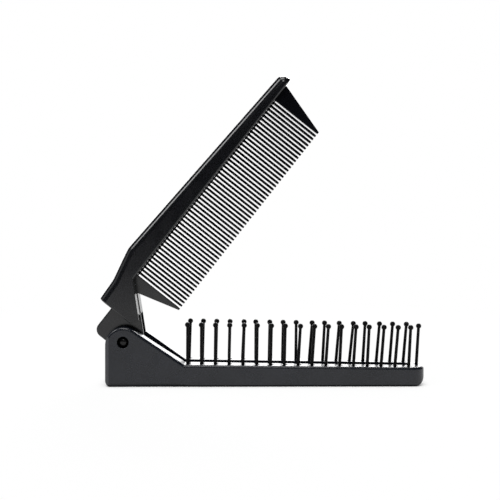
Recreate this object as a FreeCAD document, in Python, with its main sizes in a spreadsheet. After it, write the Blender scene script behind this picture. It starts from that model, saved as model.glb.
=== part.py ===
import FreeCAD, Part
import math
import os

import Sketcher

# Folding travel brush: a pocket brush with a comb that folds down between its two rows of pins.
# Lengths are millimetres and angles are degrees.
# The origin is on the rest face, straight below the hinge axis. X runs along the brush to its tip,
# Y runs along the hinge axis, away from the viewer, and Z is up.
# The comb is drawn folded shut, about the hinge axis, and its placement then raises it.

SIZES = {
    # Brush body, seen from the side
    "hinge_height": "16.55",
    "ear_round": "6.75",
    "ear_drop": "1.25",
    "slope_foot": "22.65",
    "rail_height": "8.2",
    "rail_height_tip": "7.1",
    "tray_reach": "112.6",
    "heel_round": "2.2",
    "keel_round": "4.5",
    # Brush body, seen from above
    "body_width": "21",
    "tip_corner": "5.5",
    "slot_width": "10",
    "slot_reach": "10",
    "channel_width": "6",
    "channel_stop": "4.8",
    "channel_corner": "1.5",
    # Bevel of the lower side edges, by height and lean from upright, from the hinge end to the tip
    "heel_bevel": "1.1",
    "arch_bevel": "1.8",
    "arch_place": "14.8",
    "arch_run": "2.5",
    "edge_bevel": "0.7",
    "arch_lean": "30",
    "edge_lean": "50",
    # Brush body, inside
    "slot_floor": "4.2",
    "wall": "1.2",
    "channel_wall": "1.2",
    "rail_plate": "2",
    "rim_round": "1",
    "ear_back_bevel": "1.5",
    # Bottom cover
    "cover_thickness": "1.6",
    "cover_gap": "0.1",
    "cover_lap": "3",
    "cover_ledge": "0.5",
    "cover_corner": "1",
    "rib_width": "1.5",
    # Pins of the brush
    "first_pin_gap": "1.15",
    "last_pin_gap": "1.55",
    "end_pin_gap": "2.1",
    "pin_rise": "15.45",
    "pin_root_radius": "0.6",
    "pin_neck_radius": "0.55",
    "pin_ball_radius": "1",
    "pin_flange_radius": "0.95",
    "pin_flange_thickness": "0.7",
    "pin_seat_gap": "0.15",
    "pin_side_gap": "0.1",
    "end_pin_depth": "2.6",
    "socket_gap": "0.06",
    "socket_mouth_radius": "1.3",
    "socket_mouth_depth": "0.3",
    # Hinge
    "hinge_radius": "1.5",
    "hinge_head_radius": "2.05",
    "hinge_head_depth": "2.3",
    "hinge_head_round": "1.85",
    "hinge_head_sink": "0.4",
    "hinge_head_gap": "0.15",
    "hinge_seat_gap": "0.03",
    "hinge_run_gap": "0.06",
    "cap_socket_depth": "0.6",
    # Comb, folded shut, seen from the side and measured from the hinge axis
    "comb_raise": "51.8",
    "shut_lift": "3",
    "tooth_base": "11.5",
    "tooth_tip": "9.1",
    "tooth_start": "22.05",
    "tooth_stop_gap": "6.2",
    "tip_overhang": "3.5",
    "tip_hook": "2.7",
    "tip_nose_round": "3.2",
    "tip_lip_round": "0.7",
    "spine_bend": "28",
    "spine_rise": "20.4",
    "spine_rise_tip": "15.8",
    "bend_round": "8",
    "neck_step": "15.4",
    "neck_rise": "17.5",
    "neck_heel_rise": "17",
    "neck_heel_round": "0.5",
    "front_start": "20.1",
    "front_angle": "47",
    "web_reach": "0.35",
    "tongue_reach": "0.75",
    "ledge_rise": "1.55",
    "stop_gap": "0.15",
    "seat_gap": "0.35",
    "tongue_tail": "4.6",
    "tongue_heel_round": "3",
    "tongue_toe_round": "1.4",
    "tongue_gap": "0.25",
    "tongue_edge_round": "0.5",
    "relief_depth": "1.4",
    "relief_wall": "1.2",
    # Comb, across its thickness
    "neck_width": "18",
    "spine_tip_width": "10",
    "spine_edge_round": "2.8",
    "blade_root": "2.2",
    "blade_tip": "1.2",
    "blade_sink": "2",
    # Comb teeth
    "tooth_gap": "0.58",
    "tooth_lean": "0.2",
    "tooth_web": "0.3",
    "tooth_point_length": "1",
    "tooth_point_flare": "0.12",
    "guard_root": "16.5",
    "guard_tip_width": "0.9",
}

PIN_PAIRS = 17
TOOTH_GAPS = 56

# Lean of each pin towards the tip of the brush, from the hinge end to the tip end
NEAR_LEANS = (0, 0, 0.5, 1, 2, 1, 1.5, 1.5, 3.5, 4, 4, 3, 4, 3, 4.5, 5, 3)
FAR_LEANS = (2, 1.5, 1.5, 1.5, 2.5, 0, 1, 1, 0.5, 4.5, 3, 5, 6, 3.5, 5, 4.5, 5)
END_LEAN = 3.5

# Tools that cut right through reach this many millimetres past the faces they cross
OVERCUT = 1

# Share of the room for a rounding that a nearly full round takes
NEARLY_FULL = 0.96

# Points closer than this, in millimetres, count as the same when edges are picked
TOUCH = 0.001

UP = FreeCAD.Vector(0, 0, 1)
ALONG_HINGE = FreeCAD.Vector(0, 1, 0)
ALONG_BRUSH = FreeCAD.Vector(1, 0, 0)

doc = FreeCAD.newDocument("folding_travel_brush")
sheet = doc.addObject("Spreadsheet::Sheet", "dim")
for row, (alias, text) in enumerate(SIZES.items(), start=1):
    sheet.set(f"A{row}", alias)
    sheet.set(f"B{row}", text)
    sheet.setAlias(f"B{row}", alias)
doc.recompute()


# Sizes that follow from the driving ones

def body_half_width(x):
    """Half the width of the brush body at a distance x from the hinge axis."""
    return f"(dim.body_width / 2 - (dim.body_width / 2 - {TIP_SIDE}) * ({x}) / dim.tray_reach)"


def rail_top(x):
    """Height of the rails at a distance x from the hinge axis."""
    return f"(dim.rail_height - {RAIL_FALL} * (({x}) - dim.slope_foot))"


def pin_row(x):
    """Distance of a row of pins from the middle plane, half way across the hollow under its rail."""
    return f"(({HOLLOW_SIDE} + {hollow_reach(x)}) / 2)"


def hollow_reach(x):
    """Distance from the middle plane to the outer side of the hollow under a rail."""
    return f"({body_half_width(x)} - dim.wall - dim.cover_ledge)"


def front_height(x):
    """Height of the neck's front face above the hinge axis, with the comb shut."""
    return f"(dim.tooth_base - (dim.front_start - ({x})) * tan(dim.front_angle))"


def web_height(x):
    """Height above the hinge axis of the front of the web between the tongue and the first guard tooth."""
    return f"(dim.tooth_base - (dim.front_start + dim.web_reach - ({x})) * tan(dim.front_angle))"


def lean_back(z):
    """How far the teeth's lean takes them towards the hinge at a height z above the hinge axis."""
    return f"((dim.tooth_base - ({z})) * tan(dim.tooth_lean))"


def seat_height(x):
    """Height above the hinge axis of the neck's faces that rest on the ears' slopes."""
    return f"({SEAT_DISTANCE} / cos({SEAT_SLOPE}) - ({x}) * tan({SEAT_SLOPE}))"


HOLLOW_SIDE = "(dim.channel_width / 2 + dim.channel_wall)"
TIP_SIDE = (
    f"({HOLLOW_SIDE} + 2 * (dim.pin_flange_radius + dim.pin_side_gap) + dim.cover_ledge + dim.wall)"
)
RAIL_FALL = "((dim.rail_height - dim.rail_height_tip) / (dim.tray_reach - dim.slope_foot))"
RAIL_TILT = f"atan({RAIL_FALL})"
EAR_RISE = "(dim.hinge_height - dim.ear_drop - dim.rail_height)"
SLOPE_ANGLE = (
    f"(atan({EAR_RISE} / dim.slope_foot)"
    f" + asin(dim.ear_round / sqrt(dim.slope_foot ^ 2 + {EAR_RISE} ^ 2)))"
)
EAR_CORNER = f"(dim.rail_height + (dim.slope_foot + dim.ear_round) * tan({SLOPE_ANGLE}))"
CHANNEL_END = "(dim.tray_reach - dim.channel_stop)"
COVER_START = "(dim.slope_foot - dim.cover_lap)"
COVER_END = "(dim.tray_reach - dim.keel_round)"
FIRST_PIN = "(dim.slope_foot + dim.first_pin_gap)"
LAST_PIN = f"({COVER_END} - dim.last_pin_gap)"
HOLLOW_START = f"({FIRST_PIN} - dim.pin_flange_radius - dim.pin_side_gap)"
SLOT_END = f"({HOLLOW_START} - dim.channel_wall)"
PIN_PITCH = f"({LAST_PIN} - {FIRST_PIN}) / {PIN_PAIRS - 1}"
PIN_DEPTH = "(dim.rail_plate + dim.pin_seat_gap + dim.pin_flange_thickness)"
TONGUE_WIDTH = "(dim.slot_width - 2 * dim.tongue_gap)"
SHOULDER = "(dim.ear_round + dim.stop_gap)"
SPINE_END = "(dim.tray_reach + dim.tip_overhang)"
TOOTH_STOP = "(dim.tray_reach - dim.tooth_stop_gap)"
SEAT_SLOPE = f"({SLOPE_ANGLE} + dim.shut_lift * 1 deg)"
SEAT_DISTANCE = f"(dim.ear_round - dim.ear_drop * cos({SLOPE_ANGLE}) + dim.seat_gap)"
SEAT_FRONT = (
    f"(({SEAT_DISTANCE} / cos({SEAT_SLOPE}) - dim.tooth_base + dim.front_start * tan(dim.front_angle))"
    f" / (tan(dim.front_angle) + tan({SEAT_SLOPE})))"
)


# Helpers for drawing

def number(expression):
    """An expression's value as a plain number."""
    return float(sheet.evalExpression(expression))


def bind(sketch, kind, *constraint, to):
    """Add a dimension to a sketch and bind it to an expression."""
    index = sketch.addConstraint(Sketcher.Constraint(kind, *constraint, number(to)))
    sketch.setExpression(f"Constraints[{index}]", to)


def pin_point(sketch, geometry, end, x, y):
    """Hold one point of a sketch at x and y."""
    bind(sketch, "DistanceX", -1, 1, geometry, end, to=x)
    bind(sketch, "DistanceY", -1, 1, geometry, end, to=y)


def draw_outline(sketch, corners):
    """Draw a closed outline through corners, each (x, y) or (x, y, radius of its rounding)."""
    count = len(corners)
    places = [FreeCAD.Vector(number(corner[0]), number(corner[1]), 0) for corner in corners]
    arrivals = []
    departures = []
    arcs = []
    for index, corner in enumerate(corners):
        here = places[index]
        if len(corner) == 2:
            arrivals.append(here)
            departures.append(here)
            arcs.append(None)
            continue
        back = (places[index - 1] - here).normalize()
        ahead = (places[(index + 1) % count] - here).normalize()
        half_angle = back.getAngle(ahead) / 2
        radius = number(corner[2])
        arrivals.append(here + back * (radius / math.tan(half_angle)))
        departures.append(here + ahead * (radius / math.tan(half_angle)))
        centre = here + (back + ahead).normalize() * (radius / math.sin(half_angle))
        arcs.append((Part.Circle(centre, UP, radius), ahead.cross(back).z > 0))

    first = sketch.GeometryCount
    for index in range(count):
        side = Part.LineSegment(departures[index], arrivals[(index + 1) % count])
        sketch.addGeometry(side, False)
    for index, corner in enumerate(corners):
        before = first + (index - 1) % count
        after = first + index
        if arcs[index] is None:
            sketch.addConstraint(Sketcher.Constraint("Coincident", before, 2, after, 1))
            pin_point(sketch, after, 1, corner[0], corner[1])
            continue
        circle, turns_left = arcs[index]
        ends = (arrivals[index], departures[index]) if turns_left else (departures[index], arrivals[index])
        angles = [circle.parameter(end) for end in ends]
        arc = sketch.addGeometry(Part.ArcOfCircle(circle, *angles), False)
        arrive, depart = (1, 2) if turns_left else (2, 1)
        mark = sketch.addGeometry(Part.Point(places[index]), True)
        sketch.addConstraint(Sketcher.Constraint("Tangent", before, 2, arc, arrive))
        sketch.addConstraint(Sketcher.Constraint("Tangent", after, 1, arc, depart))
        sketch.addConstraint(Sketcher.Constraint("PointOnObject", mark, 1, before))
        sketch.addConstraint(Sketcher.Constraint("PointOnObject", mark, 1, after))
        bind(sketch, "Radius", arc, to=corner[2])
        pin_point(sketch, mark, 1, corner[0], corner[1])


def draw_circle(sketch, radius, height):
    """Draw a circle at a height above the sketch's origin."""
    centre = FreeCAD.Vector(0, number(height), 0)
    circle = sketch.addGeometry(Part.Circle(centre, UP, number(radius)), False)
    bind(sketch, "Radius", circle, to=radius)
    pin_point(sketch, circle, 3, "0", height)


def new_sketch(body, name, plane, lift=None, tilt=None):
    """Sketch on one of a body's origin planes, lifted along its normal and tilted about its second axis."""
    sketch = body.newObject("Sketcher::SketchObject", name)
    support = next(item for item in body.Origin.OriginFeatures if item.Role == plane)
    sketch.AttachmentSupport = (support, "")
    sketch.MapMode = "FlatFace"
    if tilt is not None:
        turn = FreeCAD.Rotation(ALONG_HINGE, number(tilt))
        sketch.AttachmentOffset = FreeCAD.Placement(FreeCAD.Vector(), turn)
        sketch.setExpression("AttachmentOffset.Rotation.Angle", tilt)
    if lift is not None:
        sketch.setExpression("AttachmentOffset.Base.z", lift)
    return sketch


def extrude(body, kind, sketch, length=None, symmetric=False, reverse=False):
    """Pad or Pocket a sketch by a length, or through everything where no length is given."""
    feature = body.newObject(f"PartDesign::{kind}", sketch.Name + "_" + kind.lower())
    feature.Profile = sketch
    if symmetric:
        feature.SideType = "Symmetric"
    feature.Reversed = reverse
    if length is None:
        feature.Type = "ThroughAll"
    else:
        feature.setExpression("Length", length)
    doc.recompute()
    return feature


def round_edges(body, base, name, radius, test):
    """Fillet the edges of the last feature that pass a test."""
    edges = [f"Edge{index}" for index, edge in enumerate(base.Shape.Edges, start=1) if test(edge)]
    fillet = body.newObject("PartDesign::Fillet", name)
    fillet.Base = (base, edges)
    fillet.setExpression("Radius", radius)
    doc.recompute()
    return fillet


def points_on(edge):
    """Both ends and the middle of an edge."""
    first, last = edge.FirstParameter, edge.LastParameter
    return [edge.valueAt(first), edge.valueAt((first + last) / 2), edge.valueAt(last)]


def near(value, expression):
    """Whether a length agrees with an expression."""
    return abs(value - number(expression)) < TOUCH


# Brush body

def cover_outline(gap):
    """Corners of the cover's outline seen from above, inside the body's sides and drawn in by a gap."""
    start = f"({COVER_START} + {gap})"
    end = f"({COVER_END} - {gap})"
    start_side = f"({body_half_width(start)} - dim.wall - {gap})"
    end_side = f"({body_half_width(end)} - dim.wall - {gap})"
    return (
        (start, f"-{start_side}", "dim.cover_corner"),
        (end, f"-{end_side}", "dim.cover_corner"),
        (end, end_side, "dim.cover_corner"),
        (start, start_side, "dim.cover_corner"),
    )


def bevel_bottom(body):
    """Bevel both lower side edges, with an arch at the hinge end and a narrow edge under the rails."""
    places = (
        ("heel", f"(-dim.ear_round - {OVERCUT})", "dim.heel_bevel", "tan(dim.arch_lean)"),
        ("arch", "dim.arch_place", "dim.arch_bevel", "tan(dim.arch_lean)"),
        ("foot", "(dim.slope_foot + dim.arch_run)", "dim.edge_bevel", "tan(dim.edge_lean)"),
        ("tip", f"(dim.tray_reach + {OVERCUT})", "dim.edge_bevel", "tan(dim.edge_lean)"),
    )
    for row, sign in (("near", "-"), ("far", "")):
        sections = []
        for place, x, height, lean in places:
            section = new_sketch(body, f"{row}_bevel_{place}", "YZ_Plane", lift=x)
            outer = f"{sign}({body_half_width(x)} + {OVERCUT} * {lean})"
            inner = f"{sign}({body_half_width(x)} - ({height} + {OVERCUT}) * {lean})"
            draw_outline(section, (
                (outer, f"-{OVERCUT}"),
                (outer, f"{height} + {OVERCUT}"),
                (inner, f"-{OVERCUT}"),
            ))
            sections.append(section)
        bevel = body.newObject("PartDesign::SubtractiveLoft", f"{row}_bevel")
        bevel.Profile = sections[0]
        bevel.Sections = sections[1:]
        bevel.Ruled = True
        doc.recompute()


def make_brush_blank():
    """The body's moulding, still without the pins' sockets."""
    body = doc.addObject("PartDesign::Body", "brush_blank")

    side = new_sketch(body, "body_side", "XZ_Plane")
    draw_outline(side, (
        ("-dim.ear_round", "0", "dim.heel_round"),
        ("dim.tray_reach", "0", "dim.keel_round"),
        ("dim.tray_reach", "dim.rail_height_tip"),
        ("dim.slope_foot", "dim.rail_height"),
        ("-dim.ear_round", EAR_CORNER, "dim.ear_round"),
    ))
    extrude(body, "Pad", side, "2 * dim.body_width", symmetric=True)

    plan = new_sketch(body, "body_plan", "XY_Plane")
    beyond = f"(dim.tray_reach + {OVERCUT})"
    behind = f"(-dim.ear_round - {OVERCUT})"
    aside = f"(dim.body_width + {OVERCUT})"
    draw_outline(plan, (
        (behind, f"-{aside}"),
        (beyond, f"-{aside}"),
        (beyond, aside),
        (behind, aside),
    ))
    back = "-dim.ear_round"
    bevel_end = "(dim.ear_back_bevel - dim.ear_round)"
    tip_side = body_half_width("dim.tray_reach")
    draw_outline(plan, (
        (back, f"dim.ear_back_bevel - {body_half_width(back)}"),
        (bevel_end, f"-{body_half_width(bevel_end)}"),
        ("dim.tray_reach", f"-{tip_side}", "dim.tip_corner"),
        ("dim.tray_reach", tip_side, "dim.tip_corner"),
        (bevel_end, body_half_width(bevel_end)),
        (back, f"{body_half_width(back)} - dim.ear_back_bevel"),
    ))
    blank = extrude(body, "Pocket", plan, symmetric=True)

    def on_upper_rim(edge):
        """Edges of the side faces above the rest face, up to the round of the tip."""
        places = points_on(edge)
        on_side = all(near(abs(place.y), body_half_width(str(place.x))) for place in places)
        above_tip = all(place.z > number("dim.rail_height_tip") - TOUCH for place in places)
        return on_side and above_tip

    round_edges(body, blank, "body_rim", "dim.rim_round", on_upper_rim)
    bevel_bottom(body)

    slot = new_sketch(body, "ear_slot", "XY_Plane", lift="dim.slot_floor")
    draw_outline(slot, (
        (behind, "-dim.slot_width / 2"),
        ("dim.slot_reach", "-dim.slot_width / 2"),
        (SLOT_END, "-dim.channel_width / 2"),
        (SLOT_END, "dim.channel_width / 2"),
        ("dim.slot_reach", "dim.slot_width / 2"),
        (behind, "dim.slot_width / 2"),
    ))
    extrude(body, "Pocket", slot, reverse=True)

    channel = new_sketch(body, "channel", "XY_Plane", lift="dim.cover_thickness")
    draw_outline(channel, (
        (f"({SLOT_END} - {OVERCUT})", "-dim.channel_width / 2"),
        (CHANNEL_END, "-dim.channel_width / 2", "dim.channel_corner"),
        (CHANNEL_END, "dim.channel_width / 2", "dim.channel_corner"),
        (f"({SLOT_END} - {OVERCUT})", "dim.channel_width / 2"),
    ))
    extrude(body, "Pocket", channel, reverse=True)

    recess = new_sketch(body, "cover_recess", "XY_Plane")
    draw_outline(recess, cover_outline("0"))
    extrude(body, "Pocket", recess, "dim.cover_thickness", reverse=True)

    hollow_end = f"({COVER_END} - dim.cover_ledge)"
    hollow_corner = "dim.cover_corner - dim.cover_ledge"
    ceiling = f"dim.rail_height - dim.rail_plate + dim.slope_foot * {RAIL_FALL}"
    hollow = new_sketch(body, "rail_hollow", "XY_Plane", lift=ceiling, tilt=RAIL_TILT)
    for sign in ("-", ""):
        draw_outline(hollow, (
            (HOLLOW_START, f"{sign}{HOLLOW_SIDE}"),
            (hollow_end, f"{sign}{HOLLOW_SIDE}"),
            (hollow_end, f"{sign}{hollow_reach(hollow_end)}", hollow_corner),
            (HOLLOW_START, f"{sign}{hollow_reach(HOLLOW_START)}"),
        ))
    extrude(body, "Pocket", hollow)

    bore = new_sketch(body, "ear_bore", "XZ_Plane")
    draw_circle(bore, "dim.hinge_radius + dim.hinge_seat_gap", "dim.hinge_height")
    extrude(body, "Pocket", bore, symmetric=True)

    for name, sign, reverse in (("near_counterbore", "", True), ("far_counterbore", "-", False)):
        floor = f"{sign}(dim.body_width / 2 - dim.hinge_head_depth)"
        counterbore = new_sketch(body, name, "XZ_Plane", lift=floor)
        draw_circle(counterbore, "dim.hinge_head_radius + dim.hinge_head_gap", "dim.hinge_height")
        extrude(body, "Pocket", counterbore, reverse=reverse)
    return body


# Pins of the brush

def upright_sketch(name):
    """Sketch on the XZ plane, for half the section of a shape turned about the Z axis."""
    sketch = doc.addObject("Sketcher::SketchObject", name)
    sketch.Placement = FreeCAD.Placement(FreeCAD.Vector(), FreeCAD.Rotation(ALONG_BRUSH, 90))
    return sketch


def make_socket_profile(name, depth):
    """Half section of a socket with a countersunk mouth at the top of the rail."""
    sketch = upright_sketch(name)
    draw_outline(sketch, (
        ("0", f"-({depth})"),
        ("dim.pin_root_radius + dim.socket_gap", f"-({depth})"),
        ("dim.pin_root_radius + dim.socket_gap", "-dim.socket_mouth_depth"),
        ("dim.socket_mouth_radius", "0"),
        ("dim.socket_mouth_radius", str(OVERCUT)),
        ("0", str(OVERCUT)),
    ))
    return sketch


def make_pin_profile(name, foot):
    """Half section of a pin whose foot lies below the rail, with its ball tip at the top."""
    sketch = upright_sketch(name)
    ball_centre = "dim.pin_rise - dim.pin_ball_radius"
    ball_joint = f"{ball_centre} - sqrt(dim.pin_ball_radius ^ 2 - dim.pin_neck_radius ^ 2)"
    corners = foot + (
        ("dim.pin_root_radius", "0"),
        ("dim.pin_neck_radius", ball_joint),
    )
    places = [FreeCAD.Vector(number(x), number(y), 0) for x, y in corners]
    top = FreeCAD.Vector(0, number("dim.pin_rise"), 0)
    for start, end in zip(places, places[1:]):
        sketch.addGeometry(Part.LineSegment(start, end), False)
    ball = Part.Circle(FreeCAD.Vector(0, number(ball_centre), 0), UP, number("dim.pin_ball_radius"))
    arc = sketch.addGeometry(
        Part.ArcOfCircle(ball, ball.parameter(places[-1]), ball.parameter(top)), False)
    axis = sketch.addGeometry(Part.LineSegment(top, places[0]), False)
    for index in range(arc - 1):
        sketch.addConstraint(Sketcher.Constraint("Coincident", index, 2, index + 1, 1))
    sketch.addConstraint(Sketcher.Constraint("Coincident", arc - 1, 2, arc, 1))
    sketch.addConstraint(Sketcher.Constraint("Coincident", arc, 2, axis, 1))
    sketch.addConstraint(Sketcher.Constraint("Coincident", axis, 2, 0, 1))
    for index, (x, y) in enumerate(corners[:-1]):
        pin_point(sketch, index, 1, x, y)
    pin_point(sketch, arc, 3, "0", ball_centre)
    bind(sketch, "Radius", arc, to="dim.pin_ball_radius")
    bind(sketch, "DistanceX", -1, 1, arc, 1, to="dim.pin_neck_radius")
    bind(sketch, "DistanceX", -1, 1, axis, 1, to="0")
    return sketch


def turn_profile(name, profile):
    """Solid of revolution of a half section about its Z axis."""
    solid = doc.addObject("Part::Revolution", name)
    solid.Source = profile
    solid.Axis = UP
    solid.Base = FreeCAD.Vector()
    solid.Angle = 360
    solid.Solid = True
    return solid


def make_pin(name, profile, socket_profile, x, y, lean):
    """A pin that stands on the rail at x and y and leans along the brush, with its socket."""
    pin = turn_profile(name, profile)
    pin.Placement = FreeCAD.Placement(FreeCAD.Vector(), FreeCAD.Rotation(ALONG_HINGE, lean))
    pin.setExpression("Placement.Base.x", x)
    pin.setExpression("Placement.Base.y", y)
    pin.setExpression("Placement.Base.z", rail_top(x))
    socket = turn_profile("socket_for_" + name, socket_profile)
    socket.setExpression("Placement", f"{pin.Name}.Placement")
    return pin, socket


def make_pins():
    """Both rows of pins and the one at the tip, with the sockets that they stand in."""
    flange_top = "-(dim.rail_plate + dim.pin_seat_gap)"
    headed = make_pin_profile("headed_pin_profile", (
        ("0", f"-{PIN_DEPTH}"),
        ("dim.pin_flange_radius", f"-{PIN_DEPTH}"),
        ("dim.pin_flange_radius", flange_top),
        ("dim.pin_root_radius", flange_top),
    ))
    plain = make_pin_profile("plain_pin_profile", (
        ("0", "-dim.end_pin_depth"),
        ("dim.pin_root_radius", "-dim.end_pin_depth"),
    ))
    through = make_socket_profile("through_socket_profile", f"dim.rail_plate + {OVERCUT}")
    blind = make_socket_profile("blind_socket_profile", "dim.end_pin_depth + dim.socket_gap")
    made = []
    for row, leans, sign in (("near", NEAR_LEANS, "-"), ("far", FAR_LEANS, "")):
        for index, lean in enumerate(leans):
            x = f"({FIRST_PIN} + {index} * {PIN_PITCH})"
            y = f"{sign}{pin_row(x)}"
            made.append(make_pin(f"bristle_{row}_{index + 1:02d}", headed, through, x, y, lean))
    end_x = "(dim.tray_reach - dim.end_pin_gap)"
    made.append(make_pin("bristle_end", plain, blind, end_x, "0", END_LEAN))
    pins = [pin for pin, socket in made]
    sockets = doc.addObject("Part::Compound", "pin_sockets")
    sockets.Links = [socket for pin, socket in made]
    return pins, sockets


def make_brush_body(blank, sockets):
    """The body's moulding with a socket for every pin."""
    body = doc.addObject("Part::Cut", "brush_body")
    body.Base = blank
    body.Tool = sockets
    return body


# Bottom cover

def make_bottom_cover():
    """Plate in the recess under the rails, with a rib below each row of pin heads."""
    body = doc.addObject("PartDesign::Body", "bottom_cover")
    plate = new_sketch(body, "cover_plate", "XY_Plane")
    draw_outline(plate, cover_outline("dim.cover_gap"))
    extrude(body, "Pad", plate, "dim.cover_thickness")

    ribs = new_sketch(body, "cover_ribs", "XY_Plane")
    start = f"({FIRST_PIN} - dim.rib_width / 2)"
    end = f"({LAST_PIN} + dim.rib_width / 2)"
    for sign in ("-", ""):
        draw_outline(ribs, (
            (start, f"{sign}({pin_row(start)} - dim.rib_width / 2)"),
            (end, f"{sign}({pin_row(end)} - dim.rib_width / 2)"),
            (end, f"{sign}({pin_row(end)} + dim.rib_width / 2)"),
            (start, f"{sign}({pin_row(start)} + dim.rib_width / 2)"),
        ))
    extrude(body, "Pad", ribs, "dim.rail_height")

    level = f"dim.rail_height + dim.slope_foot * {RAIL_FALL} - {PIN_DEPTH} - dim.pin_seat_gap"
    trim = new_sketch(body, "rib_trim", "XY_Plane", lift=level, tilt=RAIL_TILT)
    draw_outline(trim, (
        (COVER_START, "-dim.body_width"),
        ("dim.tray_reach", "-dim.body_width"),
        ("dim.tray_reach", "dim.body_width"),
        (COVER_START, "dim.body_width"),
    ))
    extrude(body, "Pocket", trim, reverse=True)
    return body


# Hinge

def make_turned_body(name, corners):
    """Body turned about the hinge axis, from corners of (radius, place along the axis)."""
    body = doc.addObject("PartDesign::Body", name)
    section = new_sketch(body, name + "_section", "XY_Plane")
    draw_outline(section, corners)
    turned = body.newObject("PartDesign::Revolution", name + "_turned")
    turned.Profile = section
    turned.ReferenceAxis = (section, ["V_Axis"])
    turned.Angle = 360
    body.setExpression("Placement.Base.z", "dim.hinge_height")
    return body


def make_hinge_pin():
    """Pin through both ears and the comb's tongue, with its domed head on the near side."""
    face = "(dim.body_width / 2 - dim.hinge_head_sink)"
    seat = "(dim.body_width / 2 - dim.hinge_head_depth)"
    return make_turned_body("hinge_pin", (
        ("0", f"-{face}"),
        ("dim.hinge_head_radius", f"-{face}", "dim.hinge_head_round"),
        ("dim.hinge_head_radius", f"-{seat}"),
        ("dim.hinge_radius", f"-{seat}"),
        ("dim.hinge_radius", f"{seat} + dim.cap_socket_depth"),
        ("0", f"{seat} + dim.cap_socket_depth"),
    ))


def make_hinge_pin_cap():
    """Domed cap on the far end of the hinge pin."""
    face = "(dim.body_width / 2 - dim.hinge_head_sink)"
    seat = "(dim.body_width / 2 - dim.hinge_head_depth)"
    return make_turned_body("hinge_pin_cap", (
        ("0", f"{seat} + dim.cap_socket_depth"),
        ("dim.hinge_radius + dim.hinge_seat_gap", f"{seat} + dim.cap_socket_depth"),
        ("dim.hinge_radius + dim.hinge_seat_gap", seat),
        ("dim.hinge_head_radius", seat),
        ("dim.hinge_head_radius", face, "dim.hinge_head_round"),
        ("0", face),
    ))


# Comb

def comb_half_width(x):
    """Half the thickness of the comb's spine and neck at a distance x from the hinge axis."""
    return f"(dim.neck_width - (dim.neck_width - dim.spine_tip_width) * ({x}) / {SPINE_END}) / 2"


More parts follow.
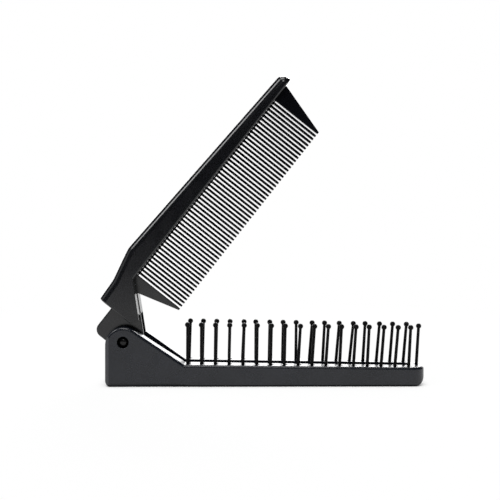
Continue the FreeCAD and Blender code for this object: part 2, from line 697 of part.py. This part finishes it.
def make_comb():
    """Spine, neck, tongue and toothed blade, in one moulding."""
    body = doc.addObject("PartDesign::Body", "comb")

    side = new_sketch(body, "spine_side", "XZ_Plane")
    draw_outline(side, (
        (SHOULDER, seat_height(SHOULDER)),
        (SEAT_FRONT, seat_height(SEAT_FRONT)),
        ("dim.front_start", "dim.tooth_base"),
        (SPINE_END, "dim.tooth_base"),
        (SPINE_END, "dim.spine_rise_tip", "dim.tip_nose_round"),
        ("dim.spine_bend", "dim.spine_rise", "dim.bend_round"),
        ("dim.neck_step", "dim.neck_rise", "dim.bend_round"),
        (SHOULDER, "dim.neck_heel_rise"),
    ))
    extrude(body, "Pad", side, "2 * dim.neck_width", symmetric=True)

    plan = new_sketch(body, "spine_plan", "XY_Plane")
    behind = f"({SHOULDER} - {OVERCUT})"
    beyond = f"({SPINE_END} + {OVERCUT})"
    for sign in ("-", ""):
        draw_outline(plan, (
            (behind, f"{sign}{comb_half_width(behind)}"),
            (beyond, f"{sign}{comb_half_width(beyond)}"),
            (beyond, f"{sign}(dim.neck_width + {OVERCUT})"),
            (behind, f"{sign}(dim.neck_width + {OVERCUT})"),
        ))
    tapered = extrude(body, "Pocket", plan, symmetric=True)

    def on_back(edge):
        """Edges of both side faces along the back of the comb and round its nose."""
        places = points_on(edge)
        on_side = all(near(abs(place.y), comb_half_width(str(place.x))) for place in places)
        middle = places[1]
        on_shoulder = near(middle.x, SHOULDER)
        return on_side and middle.z > number("dim.tooth_base") + TOUCH and not on_shoulder

    def across(x, z):
        """Test for the edges that run across the comb at x and z."""
        return lambda edge: all(near(place.x, x) and near(place.z, z) for place in points_on(edge))

    rounded = round_edges(body, tapered, "spine_edges", "dim.spine_edge_round", on_back)
    on_heel = across(SHOULDER, "dim.neck_heel_rise")
    rounded = round_edges(body, rounded, "neck_heel", "dim.neck_heel_round", on_heel)
    on_lip = across(SPINE_END, "dim.tooth_base")
    round_edges(body, rounded, "tip_lip", "dim.tip_lip_round", on_lip)

    blade_end = f"({SPINE_END} - dim.tip_hook)"
    blade = new_sketch(body, "blade", "YZ_Plane", lift=SEAT_FRONT)
    root = "(dim.tooth_base + dim.blade_sink)"
    draw_outline(blade, (
        ("-dim.blade_tip / 2", "-dim.tooth_tip"),
        ("dim.blade_tip / 2", "-dim.tooth_tip"),
        ("dim.blade_root / 2", root),
        ("-dim.blade_root / 2", root),
    ))
    extrude(body, "Pad", blade, f"{blade_end} - {SEAT_FRONT}")

    below = f"-(dim.tooth_tip + {OVERCUT})"
    guards = new_sketch(body, "guard_trim", "XZ_Plane")
    web_start = f"({SEAT_FRONT} - {OVERCUT})"
    hinge_guard_tip = f"(dim.tooth_start - dim.guard_tip_width - {lean_back('-dim.tooth_tip')})"
    draw_outline(guards, (
        (web_start, web_height(web_start)),
        (web_start, below),
        (hinge_guard_tip, below),
        (hinge_guard_tip, "-dim.tooth_tip"),
        ("dim.guard_root", web_height("dim.guard_root")),
    ))
    tip_guard_tip = f"({TOOTH_STOP} + dim.guard_tip_width - {lean_back('-dim.tooth_tip')})"
    draw_outline(guards, (
        (blade_end, "dim.tooth_base"),
        (tip_guard_tip, "-dim.tooth_tip"),
        (tip_guard_tip, below),
        (f"({blade_end} + {OVERCUT})", below),
        (f"({blade_end} + {OVERCUT})", "dim.tooth_base"),
    ))
    extrude(body, "Pocket", guards, symmetric=True)

    tongue = new_sketch(body, "tongue", "XZ_Plane")
    front = "(dim.front_start + dim.tongue_reach - (dim.tooth_base - ({z})) / tan(dim.front_angle))"
    draw_outline(tongue, (
        ("-dim.tongue_tail", "-dim.tongue_tail", f"{NEARLY_FULL} * dim.tongue_tail"),
        (front.format(z="-dim.tongue_tail"), "-dim.tongue_tail", "dim.tongue_toe_round"),
        (front.format(z="dim.ledge_rise"), "dim.ledge_rise"),
        (SEAT_FRONT, "dim.ledge_rise"),
        (SEAT_FRONT, "dim.tooth_base"),
        ("-dim.tongue_tail", "dim.tooth_base", "dim.tongue_heel_round"),
    ))
    padded = extrude(body, "Pad", tongue, TONGUE_WIDTH, symmetric=True)

    def on_tongue(edge):
        """Edges of the tongue's side faces, apart from those against the neck."""
        places = points_on(edge)
        on_side = all(near(abs(place.y), f"{TONGUE_WIDTH} / 2") for place in places)
        middle = places[1]
        on_shoulder = near(middle.x, SHOULDER)
        on_seat = near(middle.z, seat_height(str(middle.x)))
        on_front = near(middle.z, front_height(str(middle.x)))
        return on_side and not on_shoulder and not on_seat and not on_front

    round_edges(body, padded, "tongue_edges", "dim.tongue_edge_round", on_tongue)

    # Hollow moulded into the tongue's front, between two walls
    relief = new_sketch(body, "tongue_relief", "XZ_Plane")
    toe = f"-(dim.tongue_tail + {OVERCUT})"
    draw_outline(relief, (
        (f"({front.format(z=toe)} - dim.relief_depth)", toe),
        (f"({front.format(z=toe)} + {OVERCUT})", toe),
        (f"({front.format(z='dim.ledge_rise')} + {OVERCUT})", "dim.ledge_rise"),
        (f"({front.format(z='dim.ledge_rise')} - dim.relief_depth)", "dim.ledge_rise"),
    ))
    extrude(body, "Pocket", relief, f"{TONGUE_WIDTH} - 2 * dim.relief_wall", symmetric=True)

    gap = new_sketch(body, "tooth_gap", "XZ_Plane")
    point = "(dim.tooth_point_length - dim.tooth_tip)"
    point_left = f"(dim.tooth_start - {lean_back(point)})"
    tip_left = f"(dim.tooth_start - dim.tooth_point_flare - {lean_back('-dim.tooth_tip')})"
    point_right = f"({point_left} + dim.tooth_gap)"
    tip_right = f"({tip_left} + dim.tooth_gap + 2 * dim.tooth_point_flare)"
    end_round = f"{NEARLY_FULL} * dim.tooth_gap / 2"
    draw_outline(gap, (
        ("dim.tooth_start", "(dim.tooth_base - dim.tooth_web)", end_round),
        (point_left, point),
        (tip_left, "-dim.tooth_tip"),
        (tip_left, below),
        (tip_right, below),
        (tip_right, "-dim.tooth_tip"),
        (point_right, point),
        ("(dim.tooth_start + dim.tooth_gap)", "(dim.tooth_base - dim.tooth_web)", end_round),
    ))
    first_gap = extrude(body, "Pocket", gap, symmetric=True)
    teeth = body.newObject("PartDesign::LinearPattern", "tooth_row")
    teeth.Originals = [first_gap]
    x_axis = next(item for item in body.Origin.OriginFeatures if item.Role == "X_Axis")
    teeth.Direction = (x_axis, [""])
    teeth.Occurrences = TOOTH_GAPS
    teeth.setExpression("Length", f"{TOOTH_STOP} - dim.tooth_start - dim.tooth_gap")
    body.Tip = teeth
    doc.recompute()

    bore = new_sketch(body, "tongue_bore", "XZ_Plane")
    draw_circle(bore, "dim.hinge_radius + dim.hinge_run_gap", "0")
    extrude(body, "Pocket", bore, symmetric=True)

    body.Placement = FreeCAD.Placement(FreeCAD.Vector(), FreeCAD.Rotation(ALONG_HINGE, -1))
    body.setExpression("Placement.Base.z", "dim.hinge_height")
    body.setExpression("Placement.Rotation.Angle", "-dim.comb_raise")
    return body


def write_parts(parts):
    """Check every object, then write each sub-part to a file named after its label."""
    doc.recompute()
    failed = [item.Name for item in doc.Objects if {"Invalid", "Error"} & set(item.State)]
    if failed:
        raise RuntimeError(f"failed objects: {failed}")
    for item in parts:
        if item.Shape.isNull() or not item.Shape.isValid():
            raise RuntimeError(f"bad shape: {item.Label}")
    os.makedirs("parts", exist_ok=True)
    for item in parts:
        item.Shape.exportStep(f"parts/{item.Label}.step")


pins, sockets = make_pins()
brush_body = make_brush_body(make_brush_blank(), sockets)
write_parts([brush_body, make_bottom_cover(), *pins, make_hinge_pin(), make_hinge_pin_cap(), make_comb()])
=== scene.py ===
import math

import bpy
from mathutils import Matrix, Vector

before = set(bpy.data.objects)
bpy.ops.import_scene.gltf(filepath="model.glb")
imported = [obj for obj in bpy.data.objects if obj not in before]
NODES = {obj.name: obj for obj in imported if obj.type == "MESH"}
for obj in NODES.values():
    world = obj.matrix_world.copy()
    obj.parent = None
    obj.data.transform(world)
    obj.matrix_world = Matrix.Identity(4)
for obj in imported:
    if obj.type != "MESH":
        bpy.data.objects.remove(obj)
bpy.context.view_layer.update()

scene = bpy.context.scene

# Lengths are in metres, and a noise is (patches per metre, detail, roughness)

WHITE = (1, 1, 1, 1)

# Values between which most of a noise lies
NOISE_SPAN = (0.3, 0.7)

# What all the plastics share
TONE_CLOUD = (55.0, 4.0, 0.6)
HANDLING_MARKS = (140.0, 3.0, 0.55)
GRAIN_DETAIL = 2.0
GRAIN_ROUGHNESS = 0.5

# An edge is where the softened normal departs from the flat one, and takes this share of the worn tone
EDGE_SAMPLES = 6
EDGE_AGREEMENT = (0.9, 0.995)
EDGE_WEAR = 0.55

# Crevices are where little is open within reach; shade is painted into them, keeping these shares of tone
# and shine
CREVICE_SAMPLES = 6
CREVICE_REACH = 0.002
CREVICE_OPENNESS = (0.25, 0.7)
CREVICE_SHADE_TONE = 0.2
CREVICE_SHADE_SHINE = 0.1

# The comb at rest: its slope, where along it the teeth start and how far off its middle plane they end
COMB_RAISE = math.radians(51.8)
COMB_DIRECTION = (math.cos(COMB_RAISE), 0.0, math.sin(COMB_RAISE))
TEETH_START = (0.034, 0.036)
TEETH_END = (0.0011, 0.0016)

# Floor: its edges, its paper, and how it is lifted to white from its middle outwards
FLOOR_NEAR = -1.4
FLOOR_FAR = 2.2
FLOOR_SIDE = 2.0
PAPER_FIBRES = (900.0, 3.0, 0.6)
PAPER_TONES = (0.88, 0.92)
PAPER_ROUGHNESS = 0.5
FLOOR_MIDDLE = (0.05, 0.0, 0.0)
LIFT_DISTANCE = (0.06, 0.30)
LIFT_SHARE = (0.95, 1.0)
# Where the object closes over the floor within this reach, the lift drops: a shadow partly real and partly
# painted
CONTACT_SAMPLES = 8
CONTACT_REACH = 0.004

# World: its dark tone, and the white that gloss sees by depth and by height
# The white by depth has stops of (place from front to back, grey)
ROOM_TONE = (0.02, 0.02, 0.02, 1)
WHITE_BY_DEPTH = ((0.0, 0.02), (0.70, 0.03), (0.84, 0.5), (0.92, 1.0))
WHITE_HEIGHT = (0.28, 0.50)
WHITE_ABOVE = 0.05


# Node helpers

def new_tree(material):
    """Empty a material's node tree and give it an output."""
    material.use_nodes = True
    tree = material.node_tree
    tree.nodes.clear()
    output = tree.nodes.new("ShaderNodeOutputMaterial")
    return tree, output


def add(tree, kind, settings=None, **inputs):
    """Add a node, with its settings and the values of its sockets."""
    node = tree.nodes.new(kind)
    for name, value in (settings or {}).items():
        setattr(node, name, value)
    for name, value in inputs.items():
        node.inputs[name].default_value = value
    return node


def link(tree, source, target):
    """Join one node's output to another's input, each given as (node, socket)."""
    tree.links.new(source[0].outputs[source[1]], target[0].inputs[target[1]])


def ramp(tree, source, stops):
    """Map a value through a ramp of (place, grey or colour) stops."""
    node = tree.nodes.new("ShaderNodeValToRGB")
    elements = node.color_ramp.elements
    while len(elements) < len(stops):
        elements.new(0.5)
    for element, (place, colour) in zip(elements, stops):
        element.position = place
        element.color = (*colour, 1) if isinstance(colour, tuple) else (colour, colour, colour, 1)
    link(tree, source, (node, "Fac"))
    return node, "Color"


def map_range(tree, source, low, high, to_low, to_high):
    """Map a value from one range to another, held to its ends."""
    node = tree.nodes.new("ShaderNodeMapRange")
    node.inputs["From Min"].default_value = low
    node.inputs["From Max"].default_value = high
    node.inputs["To Min"].default_value = to_low
    node.inputs["To Max"].default_value = to_high
    link(tree, source, (node, "Value"))
    return node, "Result"


def noise(tree, place, scale, detail, roughness):
    """Noise over the object, with its scale in patches per metre."""
    node = add(tree, "ShaderNodeTexNoise", None, Scale=scale, Detail=detail, Roughness=roughness)
    link(tree, place, (node, "Vector"))
    return node, "Fac"


def noise_ramp(tree, source, first, last):
    """Spread two greys or colours over a noise."""
    return ramp(tree, source, tuple(zip(NOISE_SPAN, (first, last))))


def combine(tree, operation, first, second):
    """Two values joined by a math operation."""
    node = add(tree, "ShaderNodeMath", {"operation": operation})
    link(tree, first, (node, 0))
    link(tree, second, (node, 1))
    return node, "Value"


def mix_shaders(tree, share, first, second, output):
    """Send to the output one shader, with a share of a second one over it."""
    mixed = add(tree, "ShaderNodeMixShader")
    link(tree, share, (mixed, "Fac"))
    link(tree, first, (mixed, 1))
    link(tree, second, (mixed, 2))
    link(tree, (mixed, "Shader"), (output, "Surface"))


# Moulded plastics

def worn_at_edges(tree, tone, soft, worn):
    """A tone that turns to the worn one at edges."""
    flat = add(tree, "ShaderNodeNewGeometry")
    agree = add(tree, "ShaderNodeVectorMath", {"operation": "DOT_PRODUCT"})
    link(tree, (soft, "Normal"), (agree, 0))
    link(tree, (flat, "Normal"), (agree, 1))
    on_edge = map_range(tree, (agree, "Value"), *EDGE_AGREEMENT, EDGE_WEAR, 0.0)
    mixed = add(tree, "ShaderNodeMix", {"data_type": "RGBA"})
    mixed.inputs["B"].default_value = (*worn, 1)
    link(tree, on_edge, (mixed, "Factor"))
    link(tree, tone, (mixed, "A"))
    return mixed, "Result"


def painted_crevice_shade(tree, tone, crevice):
    """A tone with painted shade, darkening it in crevices."""
    shaded = add(tree, "ShaderNodeVectorMath", {"operation": "SCALE"})
    link(tree, tone, (shaded, 0))
    link(tree, map_range(tree, crevice, *CREVICE_OPENNESS, CREVICE_SHADE_TONE, 1.0), (shaded, "Scale"))
    return shaded, "Vector"


def comb_shine(tree, place, shine, tooth_shine):
    """Level of reflections over the comb: tooth_shine on its teeth and shine on the rest."""
    along = add(tree, "ShaderNodeVectorMath", {"operation": "DOT_PRODUCT"})
    along.inputs[1].default_value = COMB_DIRECTION
    link(tree, place, (along, 0))
    split = add(tree, "ShaderNodeSeparateXYZ")
    link(tree, place, (split, "Vector"))
    aside = add(tree, "ShaderNodeMath", {"operation": "ABSOLUTE"})
    link(tree, (split, "Y"), (aside, 0))
    near_middle = map_range(tree, (along, "Value"), *TEETH_START, shine, tooth_shine)
    level = map_range(tree, (aside, "Value"), *TEETH_END, 0.0, shine)
    link(tree, near_middle, (level[0], "To Min"))
    return level


def moulded_plastic(name, dark, light, worn, rough, grain, edge, shine, tooth_shine=None):
    """Black moulded plastic: uneven tone, fine grain, handling marks, lighter edges and painted shade in
    crevices.

    dark and light are the ends of its tone, worn is the tone of its edges, rough is the range of its
    roughness, grain is (patches per metre, depth) and edge is the width of the soft edge. shine is the
    level of its reflections, and tooth_shine that level on the comb's teeth.
    """
    material = bpy.data.materials.new(name)
    tree, output = new_tree(material)
    place = (add(tree, "ShaderNodeTexCoord"), "Object")
    shader = add(tree, "ShaderNodeBsdfPrincipled")
    link(tree, (shader, "BSDF"), (output, "Surface"))

    tone = noise_ramp(tree, noise(tree, place, *TONE_CLOUD), dark, light)
    soft = add(tree, "ShaderNodeBevel", {"samples": EDGE_SAMPLES}, Radius=edge)
    tone = worn_at_edges(tree, tone, soft, worn)
    # Painted shade: where little is open nearby, the tone and the reflections are darkened
    openness = add(tree, "ShaderNodeAmbientOcclusion", {"samples": CREVICE_SAMPLES}, Distance=CREVICE_REACH)
    crevice = (openness, "AO")
    link(tree, painted_crevice_shade(tree, tone, crevice), (shader, "Base Color"))

    marks = noise(tree, place, *HANDLING_MARKS)
    link(tree, map_range(tree, marks, *NOISE_SPAN, *rough), (shader, "Roughness"))

    # The export keeps the socket's own value, not the nodes linked to it, so both are set
    # Painted shade: reflections are turned down in crevices as well
    reflection = map_range(tree, crevice, *CREVICE_OPENNESS, CREVICE_SHADE_SHINE * shine, shine)
    shader.inputs["Specular IOR Level"].default_value = shine
    link(tree, reflection, (shader, "Specular IOR Level"))
    if tooth_shine is not None:
        link(tree, comb_shine(tree, place, shine, tooth_shine), (reflection[0], "To Max"))

    grain_patches, grain_depth = grain
    fine = noise(tree, place, grain_patches, GRAIN_DETAIL, GRAIN_ROUGHNESS)
    bump = add(tree, "ShaderNodeBump", None, Strength=1.0, Distance=grain_depth)
    link(tree, fine, (bump, "Height"))
    link(tree, (soft, "Normal"), (bump, "Normal"))
    link(tree, (bump, "Normal"), (shader, "Normal"))
    return material


BODY = moulded_plastic(
    "body_satin_black",
    dark=(0.0060, 0.0075, 0.0120), light=(0.0100, 0.0120, 0.0180), worn=(0.014, 0.016, 0.022),
    rough=(0.20, 0.30), grain=(5200.0, 0.000006), edge=0.00018, shine=0.46)
COVER = moulded_plastic(
    "cover_matt_black",
    dark=(0.0070, 0.0070, 0.0072), light=(0.0130, 0.0130, 0.0135), worn=(0.026, 0.026, 0.027),
    rough=(0.45, 0.60), grain=(3800.0, 0.000012), edge=0.00015, shine=0.4)
COMB = moulded_plastic(
    "comb_gloss_black",
    dark=(0.0032, 0.0034, 0.0045), light=(0.0062, 0.0066, 0.0085), worn=(0.008, 0.0085, 0.010),
    rough=(0.14, 0.22), grain=(5200.0, 0.000004), edge=0.00015, shine=0.54, tooth_shine=0.03)
BRISTLE = moulded_plastic(
    "bristle_nylon_black",
    dark=(0.0030, 0.0030, 0.0032), light=(0.0070, 0.0070, 0.0075), worn=(0.014, 0.014, 0.015),
    rough=(0.32, 0.45), grain=(9000.0, 0.000003), edge=0.00006, shine=0.08)
HINGE = moulded_plastic(
    "hinge_polished_black",
    dark=(0.0030, 0.0030, 0.0034), light=(0.0065, 0.0065, 0.0070), worn=(0.018, 0.018, 0.019),
    rough=(0.20, 0.26), grain=(7000.0, 0.000001), edge=0.00010, shine=0.3)


def finish_for(name):
    """The material of a CAD node."""
    if name.startswith("bristle"):
        return BRISTLE
    if name.startswith("hinge_pin"):
        return HINGE
    return {"brush_body": BODY, "bottom_cover": COVER, "comb": COMB}[name]


for name, node in NODES.items():
    node.data.materials.clear()
    node.data.materials.append(finish_for(name))


# Floor, light and camera

def make_floor():
    """Large pale sheet under the object.

    To the camera and to gloss it is lifted to white, a little less near the object and less still where the
    object closes over it, so its shadow stays, partly real and partly painted.
    """
    mesh = bpy.data.meshes.new("floor")
    corners = [
        (-FLOOR_SIDE, FLOOR_NEAR, 0), (FLOOR_SIDE, FLOOR_NEAR, 0),
        (FLOOR_SIDE, FLOOR_FAR, 0), (-FLOOR_SIDE, FLOOR_FAR, 0),
    ]
    mesh.from_pydata(corners, [], [(0, 1, 2, 3)])
    floor = bpy.data.objects.new("floor", mesh)
    scene.collection.objects.link(floor)

    material = bpy.data.materials.new("floor_pale_paper")
    tree, output = new_tree(material)
    place = (add(tree, "ShaderNodeTexCoord"), "Object")
    paper = add(tree, "ShaderNodeBsdfDiffuse", None, Roughness=PAPER_ROUGHNESS)
    link(tree, noise_ramp(tree, noise(tree, place, *PAPER_FIBRES), *PAPER_TONES), (paper, "Color"))
    glow = add(tree, "ShaderNodeEmission", None, Color=WHITE, Strength=1.0)
    path = add(tree, "ShaderNodeLightPath")
    away = add(tree, "ShaderNodeVectorMath", {"operation": "DISTANCE"})
    away.inputs[1].default_value = FLOOR_MIDDLE
    link(tree, place, (away, 0))
    share = map_range(tree, (away, "Value"), *LIFT_DISTANCE, *LIFT_SHARE)
    # Painted shadow under the object: the lift drops with the floor's openness, baring the paper's real
    # shade
    contact = add(tree, "ShaderNodeAmbientOcclusion", {"samples": CONTACT_SAMPLES}, Distance=CONTACT_REACH)
    passed_on = combine(tree, "MAXIMUM", (path, "Is Glossy Ray"), (path, "Is Transmission Ray"))
    looking = combine(tree, "MAXIMUM", (path, "Is Camera Ray"), passed_on)
    lifted = combine(tree, "MULTIPLY", share, (contact, "AO"))
    seen_white = combine(tree, "MULTIPLY", looking, lifted)
    mix_shaders(tree, seen_white, (paper, "BSDF"), (glow, "Emission"), output)
    mesh.materials.append(material)


def make_world():
    """White to the camera. Gloss sees white low down behind the object, and a dark studio elsewhere."""
    world = bpy.data.worlds.new("studio")
    scene.world = world
    world.use_nodes = True
    tree = world.node_tree
    tree.nodes.clear()
    output = tree.nodes.new("ShaderNodeOutputWorld")
    place = (add(tree, "ShaderNodeTexCoord"), "Generated")
    split = add(tree, "ShaderNodeSeparateXYZ")
    link(tree, place, (split, "Vector"))
    depth = ramp(tree, map_range(tree, (split, "Y"), -1.0, 1.0, 0.0, 1.0), WHITE_BY_DEPTH)
    low = map_range(tree, (split, "Z"), *WHITE_HEIGHT, 1.0, WHITE_ABOVE)
    room = add(tree, "ShaderNodeBackground", None, Color=ROOM_TONE, Strength=1.0)
    white = add(tree, "ShaderNodeBackground", None, Color=WHITE, Strength=1.0)
    path = add(tree, "ShaderNodeLightPath")
    passed_on = combine(tree, "MAXIMUM", (path, "Is Glossy Ray"), (path, "Is Transmission Ray"))
    behind = combine(tree, "MULTIPLY", combine(tree, "MULTIPLY", depth, low), passed_on)
    seen_white = combine(tree, "MAXIMUM", (path, "Is Camera Ray"), behind)
    mix_shaders(tree, seen_white, (room, "Background"), (white, "Background"), output)


def make_softbox(name, size, place, target, radiance):
    """Area lamp of a size, aimed at a point, that shows the radiance given."""
    width, height = size
    lamp = bpy.data.lights.new(name, "AREA")
    lamp.shape = "RECTANGLE"
    lamp.size = width
    lamp.size_y = height
    lamp.energy = radiance * math.pi * width * height
    box = bpy.data.objects.new(name, lamp)
    box.location = place
    box.rotation_euler = (Vector(target) - Vector(place)).to_track_quat("-Z", "Y").to_euler()
    box.visible_camera = False
    scene.collection.objects.link(box)


def make_camera():
    """Camera at the photograph's place: level, about half as high as the object, with the brush side on."""
    lens = bpy.data.cameras.new("camera")
    lens.sensor_width = 36.0
    lens.lens = 62.28
    lens.shift_x = 0.0602
    lens.shift_y = -0.0645
    lens.clip_start = 0.01
    camera = bpy.data.objects.new("camera", lens)
    camera.location = (0.0403, -0.330, 0.0627)
    level, turn = math.radians(90), math.radians(0.78)
    camera.rotation_euler = (level, 0, turn)
    scene.collection.objects.link(camera)
    scene.camera = camera


make_floor()
make_world()
make_softbox(
    "key", size=(0.30, 0.42), place=(-0.56, -0.24, 0.70), target=(0.03, 0.0, 0.08), radiance=7.5)
make_softbox(
    "top", size=(0.50, 0.7), place=(-0.03, -0.12, 0.95), target=(-0.03, 0.02, 0.06), radiance=4.5)
make_softbox(
    "front", size=(0.3, 0.15), place=(0.08, -0.80, 0.66), target=(0.05, -0.15, 0.0), radiance=7.0)
make_softbox(
    "side", size=(0.45, 0.40), place=(-0.85, -0.20, 0.34), target=(0.0, 0.0, 0.04), radiance=0.7)
make_softbox(
    "back", size=(0.7, 0.5), place=(0.25, 1.0, 0.8), target=(0.15, 0.5, 0.0), radiance=18.0)
make_softbox(
    "sweep", size=(2.4, 0.66), place=(0.05, 1.6, 0.34), target=(0.05, 0.0, 0.10), radiance=2.6)
make_camera()
scene.view_settings.view_transform = "Standard"
